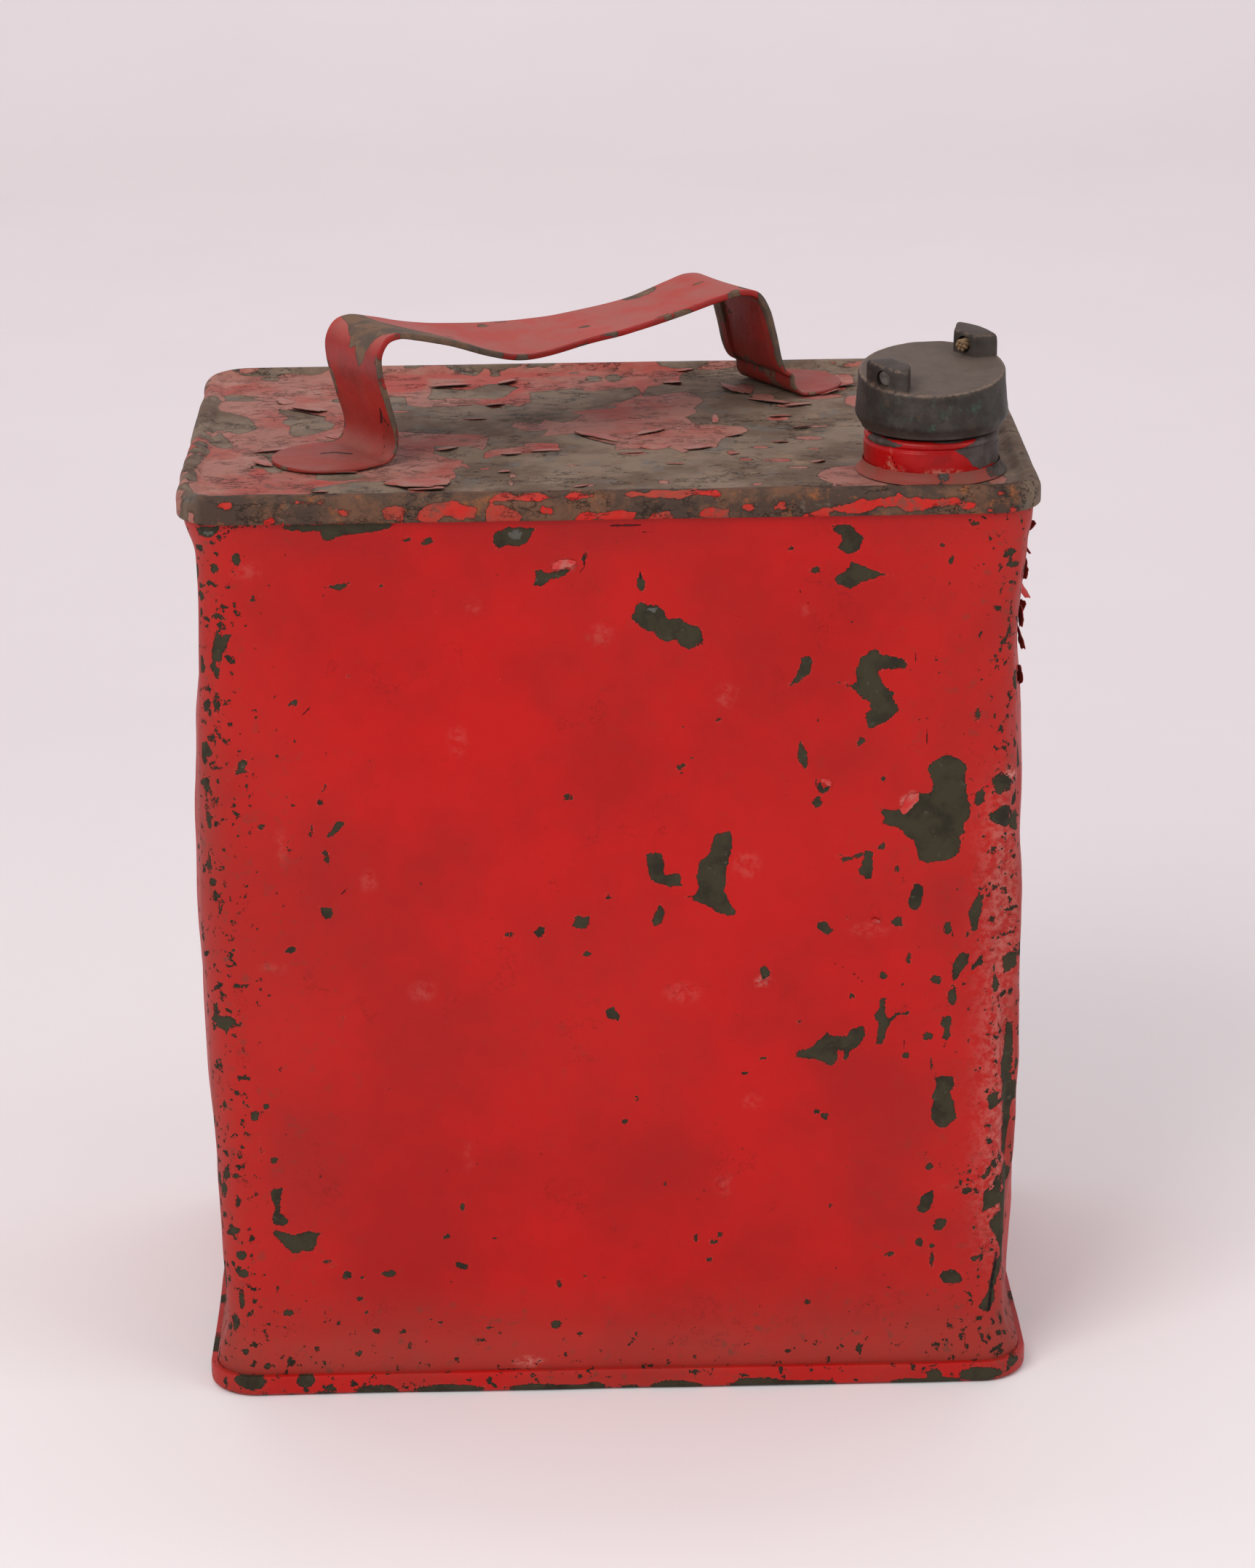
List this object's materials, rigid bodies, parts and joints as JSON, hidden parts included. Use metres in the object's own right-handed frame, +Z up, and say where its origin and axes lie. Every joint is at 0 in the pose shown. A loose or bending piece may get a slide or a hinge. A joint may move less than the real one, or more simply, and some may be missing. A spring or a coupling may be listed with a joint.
{
  "type": "two gallon petrol can",
  "caption": "Upright sheet-metal fuel can with rimmed top and base, a diagonal strap handle and a threaded filler neck closed by a lugged brass screw cap.",
  "frame": {"origin": "centre of the footprint, on the ground", "axes": "+Z up, +X to the right along the wide side towards the filler neck, -Y out of the front"},
  "size_m": [0.25, 0.166, 0.3199],
  "materials": {
    "red_paint": "old bright red paint over dark olive primer, chipped to the primer, lightly dusty",
    "worn_paint": "dusty faded red paint flaking off brown-grey bare metal",
    "neck_brass": "dull blackened brass under chipped red paint",
    "dark_brass": "dark brown-black patina with faint green and a dusty top",
    "washer_rubber": "hardened black rubber",
    "seal_cord": "frayed brown cord"
  },
  "bodies": {
    "can": {"top_pan": "worn_paint", "base_pan": "red_paint", "front_sheet": "red_paint", "back_sheet": "red_paint", "handle": "worn_paint", "filler_neck": "neck_brass", "neck_solder": "red_paint"},
    "washer": {"cap_washer": "washer_rubber"},
    "cap": {"cap": "dark_brass", "seal_stub": "seal_cord"}
  },
  "joints": [
    {"name": "cap_lift", "type": "slide", "parent": "can", "child": "washer", "axis": [0, 0, 1], "range_m": [0, 0.00953]},
    {"name": "cap_turn", "type": "hinge", "parent": "washer", "child": "cap", "pos_m": [0.0943, -0.053, 0.2947], "axis": [0, 0, 1], "range_deg": [0, 1080]}
  ],
  "couplings": [
    {"joint": "cap_lift", "follows": "cap_turn", "m_per_rad": 0.00050532}
  ]
}
